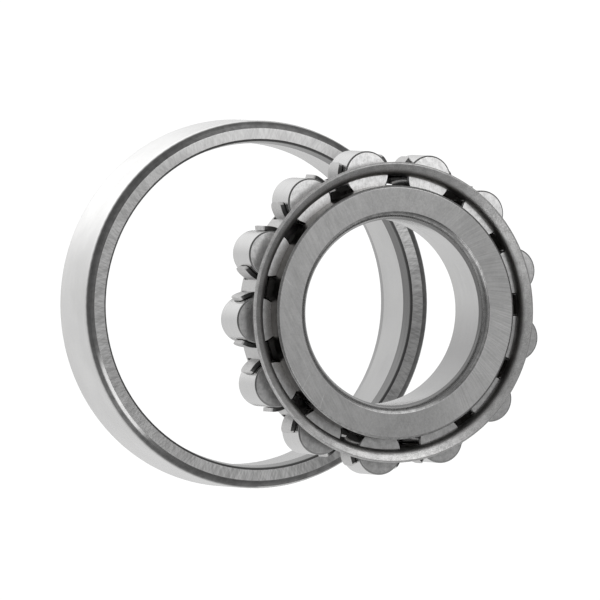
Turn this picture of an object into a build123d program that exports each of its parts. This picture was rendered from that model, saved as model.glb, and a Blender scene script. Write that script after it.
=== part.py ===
from build123d import *
import math
import os

# Single-row cylindrical roller bearing, dimension series 02, bore 40 mm, shown with its
# separable outer ring drawn back along the axis.
#
# Millimetres. The bearing axis is +Y, the front face looks along -Y and +Z is up.
# The origin is the centre of the bore, at the middle of the inner ring's width.

# Boundary dimensions
bore_diameter = 40.0
outside_diameter = 80.0
ring_width = 18.0

# How far behind the inner ring the outer ring stands when the bearing is apart
drawn_back = 80.5

# Rollers
roller_count = 13
roller_diameter = 10.0
roller_length = 10.0
roller_pitch_radius = 30.0
roller_corner = 0.3
roller_edge_round = 0.1
first_roller_angle = 16.6

# Outer ring
outer_corner_drop = 1.7
outer_corner_length = 1.45
outer_corner_bulge = 0.12
outer_corner_round = 1.5
raceway_clearance = 0.03
mouth_chamfer = 0.5
lead_in_length = 2.8
lead_in_drop = 0.45

# Inner ring
bore_corner = 1.35
bore_corner_bulge = 0.15
bore_lead_in_length = 0.95
bore_lead_in_drop = 0.37
flange_height = 2.3
flange_chamfer = 0.45
groove_play = 0.1
relief_width = 0.7
relief_depth = 0.25
ring_edge_round = 0.15

# Cage
sheet = 0.85
sheet_edge_round = 0.2
cage_radius = 29.85
window_play = 0.15
rim_foot = 0.2
rim_bend_radius = 1.9
rim_bend_angle = 62.0
rim_straight = 1.48
collar_length = 0.4
collar_bend_radius = 1.0
collar_inner_radius = 27.7
notch_width = 0.9
ear_length = 5.8
ear_top_angle = 35.0
ear_root_angle = 8.0
ear_corner = 1.2

# Worked out from the dimensions above
half_width = ring_width / 2
bore_radius = bore_diameter / 2
outside_radius = outside_diameter / 2
roller_radius = roller_diameter / 2
half_roller = roller_length / 2
inner_raceway_radius = roller_pitch_radius - roller_radius - raceway_clearance
outer_raceway_radius = roller_pitch_radius + roller_radius + raceway_clearance
mouth_radius = outer_raceway_radius + lead_in_drop
face_outer_radius = outside_radius - outer_corner_drop
half_outer_raceway = half_width - mouth_chamfer - lead_in_length
flange_radius = inner_raceway_radius + flange_height
half_groove = (roller_length + groove_play) / 2
bore_mouth_radius = bore_radius + bore_lead_in_drop
half_bore = half_width - bore_corner - bore_lead_in_length
half_window = half_roller + window_play
pocket_radius = roller_radius + window_play


def both_ends(corners):
    """A profile's corners from its front half, for a profile that is the same front and back."""
    return corners + [(radius, -along) for radius, along in reversed(corners)]


# Outer ring: a plain ring whose raceway runs through between two short lead-ins
with BuildPart() as outer_ring:
    with BuildSketch(Plane(origin=(0, drawn_back, 0))) as outer_section:
        with BuildLine():
            mouth = Polyline(
                (outer_raceway_radius, -half_outer_raceway),
                (mouth_radius, -half_width + mouth_chamfer),
                (mouth_radius + mouth_chamfer, -half_width),
                (face_outer_radius, -half_width),
            )
            outer_corner = SagittaArc(
                mouth @ 1,
                (outside_radius, -half_width + outer_corner_length),
                -outer_corner_bulge,
            )
            mirror(about=Plane.XZ)
            Line(mouth @ 0, (outer_raceway_radius, half_outer_raceway))
            Line(outer_corner @ 1, (outside_radius, half_width - outer_corner_length))
        make_face()
        fillet(outer_section.vertices().group_by(Axis.X)[-1], radius=outer_corner_round)
        sharp_corners = outer_section.vertices().filter_by(
            lambda corner: outer_raceway_radius < corner.X < face_outer_radius + ring_edge_round
        )
        fillet(sharp_corners, radius=ring_edge_round)
    revolve(axis=Axis.Y)
outer_ring.part.label = "outer_ring"

# Inner ring: the bore, and a raceway sunk between two guide flanges with a relief at each foot
with BuildPart() as inner_ring:
    with BuildSketch() as inner_section:
        with BuildLine():
            groove = Polyline(
                (inner_raceway_radius, -half_groove + relief_width),
                (inner_raceway_radius - relief_depth, -half_groove + relief_width),
                (inner_raceway_radius - relief_depth, -half_groove),
                (flange_radius, -half_groove),
                (flange_radius, -half_width + flange_chamfer),
                (flange_radius - flange_chamfer, -half_width),
                (bore_mouth_radius + bore_corner, -half_width),
            )
            inner_corner = SagittaArc(
                groove @ 1,
                (bore_mouth_radius, -half_width + bore_corner),
                bore_corner_bulge,
            )
            lead_in = Line(inner_corner @ 1, (bore_radius, -half_bore))
            mirror(about=Plane.XZ)
            Line(groove @ 0, (inner_raceway_radius, half_groove - relief_width))
            Line(lead_in @ 1, (bore_radius, half_bore))
        make_face()
        end_corners = inner_section.vertices().filter_by(
            lambda corner: abs(corner.Y) > half_width - flange_chamfer - ring_edge_round
        )
        fillet(end_corners, radius=ring_edge_round)
    revolve(axis=Axis.Y)
inner_ring.part.label = "inner_ring"

# A pair of bent ears: strips of sheet curled round the two flanks of a roller whose axis is Z,
# +X pointing away from the bearing axis, with their tip corners rounded off
with BuildPart() as ears:
    with BuildSketch(Plane.XY.offset(-ear_length / 2)):
        with BuildLine():
            ear_start = 90 + ear_root_angle
            ear_sweep = -(ear_root_angle + ear_top_angle)
            inner_curl = CenterArc((0, 0), pocket_radius, ear_start, ear_sweep)
            outer_curl = CenterArc((0, 0), pocket_radius + sheet, ear_start, ear_sweep)
            Line(inner_curl @ 0, outer_curl @ 0)
            Line(inner_curl @ 1, outer_curl @ 1)
        make_face()
    extrude(amount=ear_length)
    straight_edges = ears.edges().filter_by(GeomType.LINE)
    across_the_sheet = straight_edges.filter_by(Plane.XY)
    fillet(across_the_sheet.group_by(Axis.X)[-1], radius=ear_corner)
    mirror(about=Plane.XZ)

# Cage: one sheet pressing, drawn to its section, pierced by the windows, notched at their corners
# so that the ears could be bent out, with the ears curled round the rollers
with BuildPart(Plane.XZ) as cage:
    with BuildSketch(Plane.XY) as cage_section:
        with BuildLine():
            rim_bend = CenterArc(
                (cage_radius + rim_bend_radius, -half_window - rim_foot),
                rim_bend_radius,
                180,
                rim_bend_angle,
            )
            PolarLine(rim_bend @ 1, rim_straight, rim_bend_angle - 90)
            band = Line(rim_bend @ 0, (cage_radius, half_window + collar_length))
            collar_bend = CenterArc(
                (cage_radius - collar_bend_radius, half_window + collar_length),
                collar_bend_radius,
                0,
                90,
            )
            Line(collar_bend @ 1, (collar_inner_radius, (collar_bend @ 1).Y))
        trace(line_width=sheet)
        fillet(cage_section.vertices().sort_by(Axis.X)[-2:], radius=sheet_edge_round)
    revolve(axis=Axis.Y)
    with BuildSketch(Plane.XZ.offset(-half_window)):
        with PolarLocations(roller_pitch_radius, roller_count, first_roller_angle):
            Circle(pocket_radius)
    extrude(amount=2 * half_window, mode=Mode.SUBTRACT)
    for end in (-half_window, ear_length / 2):
        with BuildSketch(Plane.XZ.offset(end)):
            with PolarLocations(cage_radius, roller_count, first_roller_angle):
                Rectangle(2 * sheet, 2 * (pocket_radius + notch_width))
        extrude(amount=half_window - ear_length / 2, mode=Mode.SUBTRACT)
    with PolarLocations(roller_pitch_radius, roller_count, first_roller_angle):
        add(ears.part)
cage.part.label = "cage"

os.makedirs("parts", exist_ok=True)
for piece in (outer_ring, inner_ring, cage):
    export_step(piece.part, f"parts/{piece.part.label}.step")

# Rollers: plain cylinders with broken corners, evenly spaced on the pitch circle
for number in range(roller_count):
    angle = math.radians(first_roller_angle + number * 360 / roller_count)
    across = roller_pitch_radius * math.cos(angle)
    up = roller_pitch_radius * math.sin(angle)
    roller_axis = Axis((across, 0, up), (0, 1, 0))
    with BuildPart() as roller:
        with BuildSketch(Plane(origin=(across, 0, up))) as roller_section:
            with BuildLine():
                roller_half = [
                    (0, -half_roller),
                    (roller_radius - roller_corner, -half_roller),
                    (roller_radius, -half_roller + roller_corner),
                ]
                Polyline(*both_ends(roller_half), close=True)
            make_face()
            fillet(
                roller_section.vertices().filter_by(lambda corner: corner.X > roller_corner),
                radius=roller_edge_round,
            )
        revolve(axis=roller_axis)
    roller.part.label = f"roller_{number + 1:02d}"
    export_step(roller.part, f"parts/{roller.part.label}.step")
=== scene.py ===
import math

import bpy
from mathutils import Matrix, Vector


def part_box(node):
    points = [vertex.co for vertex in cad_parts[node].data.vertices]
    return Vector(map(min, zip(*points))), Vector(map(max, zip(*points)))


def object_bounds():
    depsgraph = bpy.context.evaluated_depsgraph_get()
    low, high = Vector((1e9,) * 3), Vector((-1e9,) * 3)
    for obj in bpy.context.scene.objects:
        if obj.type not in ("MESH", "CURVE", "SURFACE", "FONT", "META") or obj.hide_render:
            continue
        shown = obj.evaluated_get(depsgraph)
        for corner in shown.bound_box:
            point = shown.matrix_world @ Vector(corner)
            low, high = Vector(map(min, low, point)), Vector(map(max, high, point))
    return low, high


# A single-row cylindrical roller bearing with its outer ring drawn back, on a plain white table.
# The bearing axis is Y, the front faces -Y and Z is up. Blender works in metres. The materials'
# patterns are laid out in millimetres.

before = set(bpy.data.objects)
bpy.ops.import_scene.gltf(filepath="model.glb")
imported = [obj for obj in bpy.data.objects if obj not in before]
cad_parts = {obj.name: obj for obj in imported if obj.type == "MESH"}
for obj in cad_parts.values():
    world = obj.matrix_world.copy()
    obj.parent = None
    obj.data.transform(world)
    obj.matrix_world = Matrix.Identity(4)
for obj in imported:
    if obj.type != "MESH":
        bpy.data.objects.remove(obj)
cad_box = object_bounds()

MM_PER_METRE = 1000.0


def middle_along_axis(name):
    low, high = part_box(name)
    return (low[1] + high[1]) / 2 * MM_PER_METRE


# Places where a piece's finish changes, in millimetres
OUTER_RING_MIDDLE = middle_along_axis("outer_ring")
OUTER_RING_PARTING = 37.0
OUTER_CORNER_PARTING = 38.9
MOUTH_MIDDLE = 35.6
RACEWAY_HALF = 5.7
INNER_RING_PARTING = 24.0
CAGE_RIM_FOOT = -5.15
CAGE_BAND_OUTSIDE = 30.4

# Directions round the bearing axis, from +X towards +Z
# Where painted shade darkens the outer ring's face
SHADED_FACE_ANGLE = math.radians(-30.0)
# Where a painted highlight lies on the outer ring's corner
HIGHLIGHT_ANGLE = math.radians(-148.0)

# How squarely a surface faces along the bearing axis, from 0 on a cylinder to 1 on a side face.
# Each pair is the range in which one finish gives way to the next.
FACE_FACING = (0.97, 0.99)
EDGE_FACING = (0.91, 0.94)
OUTER_CORNER_FACING = (0.25, 0.70)
BORE_CORNER_FACING = (0.50, 0.62)

# The range that a noise texture's values usually keep to
NOISE_RANGE = (0.3, 0.7)

# Depth of the fine patterns, in millimetres
GROUND_DEPTH = 0.004
TUMBLED_DEPTH = 0.021

# Lightness of edges that catch the light, and of the darkest places
BRIGHT_EDGE = 0.45
NEARLY_BLACK = 0.08

# How far a steel's colour leans from neutral grey to brown
CLEAN = 0.004
OILY = 0.09


class Nodes:
    """A node tree built by short calls. A value may be a number or a socket."""

    def __init__(self, owner):
        owner.use_nodes = True
        self.tree = owner.node_tree
        self.tree.nodes.clear()

    def node(self, kind, **settings):
        made = self.tree.nodes.new(kind)
        for key, value in settings.items():
            setattr(made, key, value)
        return made

    def put(self, value, socket):
        if isinstance(value, bpy.types.NodeSocket):
            self.tree.links.new(value, socket)
        else:
            socket.default_value = value

    def feed(self, made, values):
        """Puts the values into a node's first inputs, and gives its outputs."""
        for value, socket in zip(values, made.inputs):
            self.put(value, socket)
        return made.outputs

    def calc(self, operation, *values):
        return self.feed(self.node("ShaderNodeMath", operation=operation), values)[0]

    def plus(self, total, *others):
        for value in others:
            total = self.calc("ADD", total, value)
        return total

    def times(self, product, *others):
        for value in others:
            product = self.calc("MULTIPLY", product, value)
        return product

    def vector(self, operation, *values):
        return self.feed(self.node("ShaderNodeVectorMath", operation=operation), values)[0]

    def dot(self, first, second):
        made = self.node("ShaderNodeVectorMath", operation="DOT_PRODUCT")
        return self.feed(made, (first, second))["Value"]

    def join(self, x, y, z):
        return self.feed(self.node("ShaderNodeCombineXYZ"), (x, y, z))[0]

    def split(self, vector):
        return self.feed(self.node("ShaderNodeSeparateXYZ"), (vector,))

    def step(self, value, low, high, start=0.0, end=1.0):
        """Smooth change from start to end as value goes from low to high."""
        made = self.node("ShaderNodeMapRange", interpolation_type="SMOOTHSTEP")
        return self.feed(made, (value, low, high, start, end))[0]

    def blend(self, share, first, second):
        made = self.node("ShaderNodeMix", data_type="FLOAT")
        for value, place in ((share, 0), (first, 2), (second, 3)):
            self.put(value, made.inputs[place])
        return made.outputs[0]

    def layers(self, base, *overlays):
        """The base value with each overlay's value laid over it where that overlay's mask is 1."""
        for mask, value in overlays:
            base = self.blend(mask, base, value)
        return base


class Steel(Nodes):
    """The node tree of one steel material."""

    def __init__(self, name):
        self.material = bpy.data.materials.new(name)
        super().__init__(self.material)
        geometry = self.node("ShaderNodeNewGeometry")
        self.position = geometry.outputs["Position"]
        self.normal = geometry.outputs["Normal"]
        self.coordinates = self.node("ShaderNodeTexCoord")

    def noise(self, vector, scale, detail=2.0, roughness=0.5):
        made = self.node("ShaderNodeTexNoise")
        self.put(vector, made.inputs["Vector"])
        self.put(scale, made.inputs["Scale"])
        self.put(detail, made.inputs["Detail"])
        self.put(roughness, made.inputs["Roughness"])
        return made.outputs[0]

    def spread(self, pattern, low, high):
        """A noise pattern stretched to go from low to high."""
        return self.step(pattern, *NOISE_RANGE, low, high)

    def place_mm(self):
        """The place on the piece in millimetres, which turns with the piece."""
        return self.vector("MULTIPLY", self.coordinates.outputs["Object"], (MM_PER_METRE,) * 3)

    def polar(self, place):
        """Radius and angle about the place's Y axis, and the distance along that axis."""
        x, y, z = self.split(place)
        square = self.plus(self.times(x, x), self.times(z, z))
        return self.calc("SQRT", square), self.calc("ARCTAN2", z, x), y

    def facing_axis(self):
        """How squarely the surface faces along the bearing axis, from 0 to 1."""
        return self.calc("ABSOLUTE", self.split(self.normal)[1])

    def nearness(self, angle, direction):
        """1 in that direction round the axis, falling to -1 on the opposite side."""
        return self.calc("COSINE", self.calc("SUBTRACT", angle, direction))

    def by_height(self, low_mm, high_mm, low_value, high_value):
        """Smooth change between two heights above the bearing's middle, in the scene."""
        height = self.times(self.split(self.position)[2], MM_PER_METRE)
        return self.step(height, low_mm, high_mm, low_value, high_value)

    def tint(self, lightness, brown):
        """A steel colour of that lightness. It is neutral grey where brown is 0."""
        made = self.node("ShaderNodeCombineColor")
        swing = self.times(lightness, brown)
        red = self.plus(lightness, swing)
        blue = self.calc("SUBTRACT", lightness, swing)
        return self.feed(made, (red, lightness, blue))[0]

    def finish(self, color, roughness, pattern, depth_mm, edge_mm=0.0):
        """Ends the tree in a metal with the pattern as bump, and edges softened by edge_mm."""
        bump = self.node("ShaderNodeBump")
        bump.inputs["Strength"].default_value = 1.0
        bump.inputs["Distance"].default_value = depth_mm / MM_PER_METRE
        self.put(pattern, bump.inputs["Height"])
        if edge_mm:
            bevel = self.node("ShaderNodeBevel", samples=6)
            bevel.inputs["Radius"].default_value = edge_mm / MM_PER_METRE
            self.put(bevel.outputs[0], bump.inputs["Normal"])
        metal = self.node("ShaderNodeBsdfPrincipled")
        self.put(color, metal.inputs["Base Color"])
        self.put(roughness, metal.inputs["Roughness"])
        self.put(1.0, metal.inputs["Metallic"])
        self.put(bump.outputs[0], metal.inputs["Normal"])
        output = self.node("ShaderNodeOutputMaterial")
        self.put(metal.outputs[0], output.inputs["Surface"])
        return self.material


def streaks(s, on_ring, slope, width_mm, length_mm, seed):
    """Noise drawn out into streaks that cross a ring's face at a constant slope to the radius.

    on_ring is the radius and the angle, and the radius at which the streaks have that width.
    """
    radius, angle, middle_radius = on_ring
    turned = s.calc("MULTIPLY_ADD", s.calc("LOGARITHM", radius, math.e), slope, angle)
    reach = middle_radius / width_mm
    place = s.join(
        s.times(s.calc("COSINE", turned), reach),
        s.times(s.calc("SINE", turned), reach),
        s.calc("MULTIPLY_ADD", radius, 1.0 / length_mm, seed),
    )
    return s.noise(place, 1.0, detail=3.0, roughness=0.65)


def ground_face(s, on_ring, width_mm, seed):
    """A ground side face's lay, of three crossing families of streaks, and its rare deep scratches."""
    right = streaks(s, on_ring, slope=0.30, width_mm=width_mm, length_mm=4.0, seed=seed)
    left = streaks(s, on_ring, slope=-0.40, width_mm=width_mm * 1.2, length_mm=3.0, seed=seed + 7.0)
    fine = streaks(s, on_ring, slope=0.15, width_mm=width_mm * 0.4, length_mm=2.5, seed=seed + 13.0)
    lay = s.plus(s.times(right, 0.40), s.times(left, 0.35), s.times(fine, 0.25))
    first = streaks(s, on_ring, slope=0.6, width_mm=0.35, length_mm=12.0, seed=seed + 23.0)
    second = streaks(s, on_ring, slope=-0.5, width_mm=0.40, length_mm=12.0, seed=seed + 31.0)
    deep = s.step(s.calc("MAXIMUM", first, second), 0.67, 0.74)
    return lay, deep


def turned_marks(s, radius, angle, along):
    """The fine rings that a lathe leaves on a chamfer."""
    place = s.join(s.times(radius, 7.0), s.times(along, 7.0), angle)
    return s.noise(place, 1.0)


def round_grinding(s, radius, angle, along):
    """The fine lines that grinding leaves round a cylinder."""
    place = s.join(s.times(along, 9.0), s.times(angle, 1.5), radius)
    return s.noise(place, 1.0, detail=3.0)


def outer_ring_steel():
    """Outer ring: streaky ground faces, dark turned corners, bright ground outside and raceway, with
    painted light and shade and a painted highlight.
    """
    s = Steel("outer_ring_steel")
    place = s.place_mm()
    radius, angle, along = s.polar(place)
    from_middle = s.calc("ABSOLUTE", s.calc("SUBTRACT", along, OUTER_RING_MIDDLE))
    inner_side = s.step(radius, OUTER_RING_PARTING + 0.2, OUTER_RING_PARTING - 0.2)
    past_raceway = s.step(from_middle, RACEWAY_HALF - 0.1, RACEWAY_HALF + 0.1)
    past_lead_in = s.step(radius, MOUTH_MIDDLE - 0.15, MOUTH_MIDDLE + 0.1)

    # The face's streaks fade towards the top, painted shade dulls it towards the lower right, and
    # painted light makes its top brightest
    lay, deep = ground_face(s, (radius, angle, OUTER_RING_PARTING), width_mm=0.45, seed=3.0)
    cloud = s.noise(place, 0.25, detail=4.0, roughness=0.6)
    streaky = s.step(lay, 0.38, 0.62, 0.44, 0.72)
    evened = s.blend(s.by_height(18.0, 33.0, 0.0, 0.6), streaky, 0.58)
    face_light = s.plus(evened, s.spread(cloud, -0.04, 0.04), s.times(deep, 0.2))
    face_painted_shade = s.step(s.nearness(angle, SHADED_FACE_ANGLE), 0.55, 0.95, 1.0, 0.50)
    face_light = s.times(face_light, face_painted_shade, s.by_height(30.0, 37.0, 1.0, 1.2))

    # The corner is dark with nicks, and the half next to the face carries a painted highlight for a
    # stretch
    tool_marks = turned_marks(s, radius, angle, along)
    stain = s.noise(place, 0.6, detail=6.0, roughness=0.7)
    nicks = s.step(s.noise(place, 1.6, detail=3.0), 0.70, 0.80)
    dark_corner = s.plus(
        s.spread(tool_marks, 0.11, 0.15), s.spread(stain, -0.025, 0.03), s.times(nicks, 0.10)
    )
    next_to_face = s.step(radius, OUTER_CORNER_PARTING + 0.15, OUTER_CORNER_PARTING - 0.10)
    painted_highlight = s.times(s.step(s.nearness(angle, HIGHLIGHT_ANGLE), 0.950, 0.992), next_to_face)
    corner_light = s.blend(painted_highlight, dark_corner, s.spread(tool_marks, 0.42, 0.56))

    # Painted light and shade: the outside and the raceway are painted brighter towards the top, and the
    # raceway darker towards the bottom
    round_lay = round_grinding(s, radius, angle, along)
    wall_cloud = s.noise(place, 0.1, detail=3.0)
    wall_light = s.plus(s.spread(round_lay, 0.69, 0.72), s.spread(wall_cloud, -0.03, 0.03))
    outside_light = s.times(wall_light, s.by_height(8.0, 23.0, 1.0, 1.40))
    raceway_light = s.times(wall_light, s.by_height(-25.0, 5.0, 0.52, 0.80))

    facing = s.facing_axis()
    on_face = s.step(facing, *FACE_FACING)
    on_corner = s.step(facing, *OUTER_CORNER_FACING)
    on_edge = s.step(facing, *EDGE_FACING)
    light = s.layers(
        outside_light,
        (inner_side, raceway_light),
        (on_corner, corner_light),
        (s.times(inner_side, past_raceway), s.spread(round_lay, 0.17, 0.23)),
        (s.times(inner_side, past_lead_in), NEARLY_BLACK),
        (on_edge, BRIGHT_EDGE),
        (on_face, face_light),
    )
    rough = s.layers(
        s.spread(round_lay, 0.24, 0.16),
        (on_corner, s.spread(stain, 0.42, 0.32)),
        (on_edge, 0.25),
        (on_face, s.step(lay, 0.38, 0.72, 0.44, 0.32)),
    )
    pattern = s.layers(s.times(round_lay, 0.2), (on_corner, tool_marks), (on_face, lay))
    return s.finish(s.tint(light, CLEAN), rough, pattern, GROUND_DEPTH)


def inner_ring_lay(s, place, radius, angle):
    """The inner ring's face: combed at the right, partly straight lines at the left, and grain."""
    on_ring = (radius, angle, INNER_RING_PARTING)
    crossed, deep = ground_face(s, on_ring, width_mm=0.16, seed=51.0)
    combed = streaks(s, on_ring, slope=0.30, width_mm=0.24, length_mm=9.0, seed=77.0)
    grain = s.noise(place, 2.6, detail=3.0, roughness=0.7)
    x, _, z = s.split(place)
    across_lines = s.plus(s.times(z, 0.88), s.times(x, 1.66))
    along_lines = s.plus(s.times(z, 0.13), s.times(x, -0.07))
    straight = s.noise(s.join(across_lines, along_lines, 5.0), 1.0, detail=4.0, roughness=0.7)
    rightward = s.step(s.calc("COSINE", angle), 0.2, 0.8)
    leftward = s.step(s.calc("COSINE", angle), 0.1, -0.6)
    lay = s.layers(
        s.plus(s.times(grain, 0.45), s.times(crossed, 0.55)),
        (s.times(leftward, 0.5), straight),
        (s.times(rightward, 0.55), combed),
    )
    return lay, deep


def inner_ring_steel():
    """Inner ring: ground faces, turned bore chamfers, bright bore, and raceway and flanges painted dark
    as shade, with a brown oil tint.
    """
    s = Steel("inner_ring_steel")
    place = s.place_mm()
    radius, angle, along = s.polar(place)
    x, _, z = s.split(place)
    outer_side = s.step(radius, INNER_RING_PARTING - 0.2, INNER_RING_PARTING + 0.2)

    # Painted light: the face is painted a little brighter at the lower right and at the left
    lay, deep = inner_ring_lay(s, place, radius, angle)
    cloud = s.noise(place, 0.3, detail=4.0, roughness=0.6)
    face_light = s.plus(
        s.step(lay, 0.34, 0.66, 0.32, 0.45), s.spread(cloud, -0.02, 0.02), s.times(deep, 0.13)
    )
    lower_right = s.times(s.step(x, 5.0, 18.0), s.step(z, 8.0, -6.0))
    face_light = s.times(face_light, s.step(lower_right, 0.0, 1.0, 1.0, 1.22))
    face_light = s.times(face_light, s.step(x, 0.0, -20.0, 1.0, 1.10))

    tool_marks = turned_marks(s, radius, angle, along)
    stain = s.noise(place, 0.9, detail=6.0, roughness=0.7)
    corner_light = s.plus(s.spread(tool_marks, 0.13, 0.34), s.spread(stain, -0.05, 0.06))

    # The bore is shaded at its lower right
    round_lay = round_grinding(s, radius, angle, along)
    shaded = s.times(s.step(x, 2.0, 12.0), s.step(z, 4.0, -10.0))
    bore_light = s.blend(shaded, s.spread(round_lay, 0.57, 0.62), 0.30)
    # Painted shade: the raceway and flanges are painted dark, and they also take a brown oil tint
    shade_and_oil_light = s.plus(s.spread(round_lay, 0.05, 0.09), s.spread(stain, -0.01, 0.03))

    facing = s.facing_axis()
    on_face = s.step(facing, *FACE_FACING)
    on_corner = s.step(facing, *BORE_CORNER_FACING)
    on_lead_in = s.times(s.step(facing, 0.15, 0.25), s.step(facing, 0.55, 0.45))
    on_edge = s.step(facing, *EDGE_FACING)
    light = s.layers(
        bore_light,
        (outer_side, shade_and_oil_light),
        (on_lead_in, s.spread(tool_marks, 0.15, 0.24)),
        (on_corner, corner_light),
        (on_edge, BRIGHT_EDGE),
        (on_face, face_light),
    )
    rough = s.layers(
        s.spread(round_lay, 0.24, 0.16),
        (outer_side, 0.3),
        (on_corner, s.spread(stain, 0.32, 0.22)),
        (on_edge, 0.2),
        (on_face, s.step(lay, 0.38, 0.72, 0.42, 0.34)),
    )
    pattern = s.layers(s.times(round_lay, 0.2), (on_corner, tool_marks), (on_face, lay))
    brown = s.blend(s.times(outer_side, s.step(facing, 0.6, 0.4)), CLEAN, OILY)
    return s.finish(s.tint(light, brown), rough, pattern, GROUND_DEPTH)


def roller_steel():
    """Roller: ground barrel, darker broken corners and mottled ends, with painted light making the ends
    lighter higher up.
    """
    s = Steel("roller_steel")
    low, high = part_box("roller_01")
    size = (high - low) * MM_PER_METRE
    from_centre = s.vector("SUBTRACT", s.coordinates.outputs["Generated"], (0.5, 0.5, 0.5))
    place = s.vector("MULTIPLY", from_centre, tuple(size))
    _, angle, _ = s.polar(place)

    # Each roller takes its own part of the patterns
    shift = s.times(s.node("ShaderNodeObjectInfo").outputs["Random"], 37.0)
    own_place = s.vector("ADD", place, s.join(shift, 0.0, s.times(shift, 1.7)))
    x, y, z = s.split(own_place)

    mottle = s.noise(own_place, 0.8, detail=6.0, roughness=0.7)
    lay = s.noise(s.join(s.times(x, 5.0), s.times(z, 0.6), shift), 1.0, detail=3.0)
    pits = s.step(s.noise(own_place, 3.0), 0.70, 0.78)
    end_light = s.plus(s.spread(mottle, 0.58, 0.86), s.spread(lay, -0.05, 0.05), s.times(pits, -0.3))
    # Painted light: the ends are painted lighter higher up and darker lower down
    end_light = s.times(end_light, s.by_height(-2.0, 27.0, 0.60, 1.20))
    barrel_lay = s.noise(s.join(s.times(y, 7.0), angle, shift), 1.0, detail=3.0)

    facing = s.facing_axis()
    on_end = s.step(facing, 0.95, 0.98)
    on_corner = s.step(facing, 0.12, 0.3)
    light = s.layers(s.spread(barrel_lay, 0.61, 0.67), (on_corner, 0.20), (on_end, end_light))
    rough = s.layers(0.2, (on_corner, 0.22), (on_end, s.spread(mottle, 0.38, 0.26)))
    pattern = s.layers(s.times(barrel_lay, 0.3), (on_end, s.plus(mottle, lay)))
    return s.finish(s.tint(light, 0.003), rough, pattern, GROUND_DEPTH)


def cage_steel():
    """Cage: pressed sheet, tumbled to a fine grain, with painted shade and a brown oil tint on the side
    facing the inner ring.
    """
    s = Steel("cage_steel")
    place = s.place_mm()
    radius, _, along = s.polar(place)
    grain = s.noise(place, 4.0, roughness=0.7)
    patches = s.noise(place, 0.5, detail=4.0, roughness=0.6)
    # Painted glints: small bright spots laid into the colour, where the sheet is also a little smoother
    painted_glints = s.step(s.noise(place, 5.0), 0.60, 0.72)

    # Behind the rim, painted light makes the outer side lighter, and painted shade makes the inner side
    # and the ears' cut ends dark; the inner side also takes a brown oil tint
    outwards = s.vector("NORMALIZE", s.vector("MULTIPLY", s.position, (1.0, 0.0, 1.0)))
    facing_out = s.dot(outwards, s.normal)
    behind_rim = s.step(along, CAGE_RIM_FOOT, CAGE_RIM_FOOT + 0.5)
    outer_side = s.times(s.step(facing_out, 0.2, 0.6), behind_rim)
    past_foot = s.step(along, CAGE_RIM_FOOT - 0.1, CAGE_RIM_FOOT + 0.3)
    shade_and_oil = s.times(s.step(facing_out, -0.3, -0.8), past_foot)
    on_ear = s.times(behind_rim, s.step(radius, CAGE_BAND_OUTSIDE, CAGE_BAND_OUTSIDE + 0.2))
    ear_end = s.times(s.step(s.facing_axis(), 0.7, 0.85), on_ear)

    # Painted shade: the rim is painted dimmer towards the right of the scene
    rightwards = s.times(s.split(s.position)[0], MM_PER_METRE)
    rim_light = s.plus(
        s.spread(grain, 0.35, 0.47), s.spread(patches, -0.05, 0.05), s.times(painted_glints, 0.08)
    )
    light = s.layers(
        s.times(rim_light, s.step(rightwards, 5.0, 28.0, 1.0, 0.78)),
        (outer_side, s.spread(grain, 0.56, 0.64)),
        (shade_and_oil, NEARLY_BLACK),
        (ear_end, NEARLY_BLACK),
    )
    rough = s.plus(s.spread(grain, 0.50, 0.36), s.times(painted_glints, -0.1))
    brown = s.blend(shade_and_oil, 0.006, 0.12)
    return s.finish(s.tint(light, brown), rough, grain, TUMBLED_DEPTH, edge_mm=0.1)


def assign(node_names, material):
    for name in node_names:
        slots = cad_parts[name].data.materials
        slots.clear()
        slots.append(material)


# Table and light: a white tent, open to the dimmer room on the right, with a small reflector low
# on the left. The table shows itself to the camera only. The bearing is lit from below by the
# tent's lower half instead.
FLOOR_SIZE = 6.0
SHOWN_WHITE = 1.05
REFLECTOR_DIRECTION = (-0.45, -0.70, -0.55)
CEILING_LIGHT_DIRECTION = (0.35, -0.55, 0.76)


def make_floor():
    floor_height = cad_box[0][2]
    half = FLOOR_SIZE / 2
    corners = [(-half, -half), (half, -half), (half, half), (-half, half)]
    mesh = bpy.data.meshes.new("floor")
    mesh.from_pydata([(x, y, floor_height) for x, y in corners], [], [(0, 1, 2, 3)])
    floor = bpy.data.objects.new("floor", mesh)
    bpy.context.scene.collection.objects.link(floor)
    material = bpy.data.materials.new("white_table")
    table = Nodes(material)
    glow = table.node("ShaderNodeEmission")
    glow.inputs["Strength"].default_value = SHOWN_WHITE
    output = table.node("ShaderNodeOutputMaterial")
    table.put(glow.outputs[0], output.inputs["Surface"])
    mesh.materials.append(material)
    floor.visible_glossy = False
    floor.visible_diffuse = False


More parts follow.
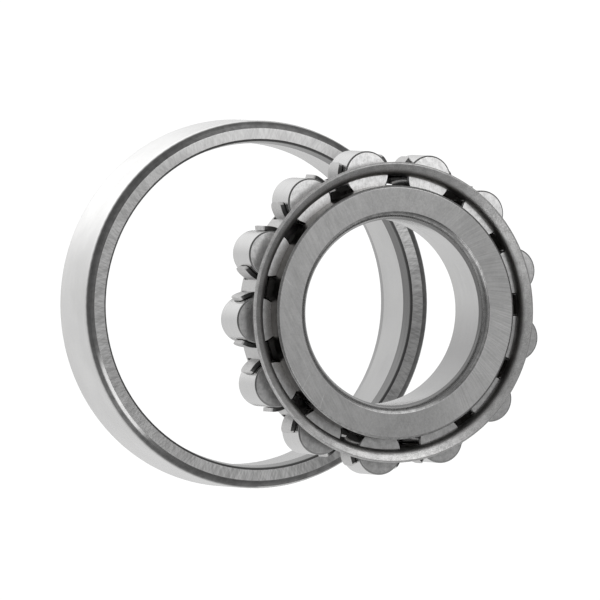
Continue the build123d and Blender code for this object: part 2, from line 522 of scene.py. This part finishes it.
def make_world():
    """The tent: how much light comes from each direction. The camera sees it plain white."""
    world = bpy.data.worlds.new("tent")
    bpy.context.scene.world = world
    tent = Nodes(world)
    direction = tent.node("ShaderNodeTexCoord").outputs["Generated"]
    x, y, z = tent.split(direction)

    def patch(towards, start, full, level):
        """A soft round light in that direction. Start and full are cosines."""
        return tent.step(tent.dot(direction, towards), start, full, 0.0, level)

    # Front: it dims towards the right, below and overhead, and has a gap at the far left
    left_gap = tent.times(tent.step(x, -0.6, -0.75), tent.step(y, 0.05, -0.15))
    front = tent.layers(
        tent.step(x, -0.7, 0.95, 0.95, 0.42),
        (left_gap, 0.40),
        (tent.step(z, -0.15, -0.65), 0.36),
        (tent.step(z, 0.35, 0.75), 0.50),
    )
    from_below = tent.times(tent.step(y, -0.45, -0.15), tent.step(z, -0.2, -0.6, 0.0, 0.7))
    front = tent.plus(front, from_below, patch(CEILING_LIGHT_DIRECTION, 0.86, 0.96, 1.0))

    # Back: brighter above, and dimmer at the right
    back = tent.layers(tent.step(z, -0.05, 0.4, 0.80, 1.05), (tent.step(x, 0.0, 0.5), 0.72))

    level = tent.blend(tent.step(y, 0.1, 0.6), front, back)
    level = tent.plus(level, patch(REFLECTOR_DIRECTION, 0.92, 0.975, 1.8))
    camera_ray = tent.node("ShaderNodeLightPath").outputs["Is Camera Ray"]
    background = tent.node("ShaderNodeBackground")
    background.inputs["Color"].default_value = (1.0, 1.0, 1.0, 1.0)
    tent.put(tent.blend(camera_ray, level, SHOWN_WHITE), background.inputs["Strength"])
    output = tent.node("ShaderNodeOutputWorld")
    tent.put(background.outputs[0], output.inputs["Surface"])


# A softbox in front, to the right and above, aimed level over the bearing. It lights the upper faces.
SOFTBOX_PLACE = (0.078, -0.190, 0.085)
SOFTBOX_AIM = (0.0, 0.0, 0.085)
SOFTBOX_SIZE = (0.16, 0.11)
SOFTBOX_WATTS = 0.032

# A small lamp above the front, aimed at the bottom of the cage's rim
LAMP_PLACE = (0.055, -0.085, 0.081)
LAMP_AIM = (0.0, -0.010, -0.033)
LAMP_SIZE = (0.07, 0.06)
LAMP_WATTS = 0.016


def make_area_light(name, place, aim, size, watts):
    data = bpy.data.lights.new(name, "AREA")
    data.shape = "RECTANGLE"
    data.size, data.size_y = size
    data.energy = watts
    light = bpy.data.objects.new(name, data)
    light.location = place
    away = Vector(place) - Vector(aim)
    light.rotation_euler = away.to_track_quat("Z", "Y").to_euler()
    light.visible_camera = False
    bpy.context.scene.collection.objects.link(light)


# Camera: a long lens, left of the bearing axis and a little above it
VIEW_AZIMUTH = math.radians(-21.5)
VIEW_ELEVATION = math.radians(1.3)
VIEW_DISTANCE = 5.5
FRAME_WIDTH = 0.1288
AIM_RIGHT = -0.0173
AIM_UP = 0.0025
SENSOR_WIDTH_MM = 36.0
FARTHEST_SEEN = 100.0


def make_camera():
    data = bpy.data.cameras.new("camera")
    data.sensor_width = SENSOR_WIDTH_MM
    data.lens = SENSOR_WIDTH_MM * VIEW_DISTANCE / FRAME_WIDTH
    data.clip_end = FARTHEST_SEEN
    camera = bpy.data.objects.new("camera", data)
    bpy.context.scene.collection.objects.link(camera)
    towards_camera = Vector((
        math.sin(VIEW_AZIMUTH) * math.cos(VIEW_ELEVATION),
        -math.cos(VIEW_AZIMUTH) * math.cos(VIEW_ELEVATION),
        math.sin(VIEW_ELEVATION),
    ))
    right = Vector((math.cos(VIEW_AZIMUTH), math.sin(VIEW_AZIMUTH), 0.0))
    up = towards_camera.cross(right)
    camera.rotation_euler = towards_camera.to_track_quat("Z", "Y").to_euler()
    camera.location = towards_camera * VIEW_DISTANCE + right * AIM_RIGHT + up * AIM_UP
    bpy.context.scene.camera = camera


roller_names = sorted(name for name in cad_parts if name.startswith("roller"))
assign(["outer_ring"], outer_ring_steel())
assign(["inner_ring"], inner_ring_steel())
assign(roller_names, roller_steel())
assign(["cage"], cage_steel())
make_floor()
make_world()
make_area_light("softbox", SOFTBOX_PLACE, SOFTBOX_AIM, SOFTBOX_SIZE, SOFTBOX_WATTS)
make_area_light("lamp", LAMP_PLACE, LAMP_AIM, LAMP_SIZE, LAMP_WATTS)
make_camera()
bpy.context.scene.view_settings.view_transform = "Standard"
bpy.context.scene.view_settings.look = "None"
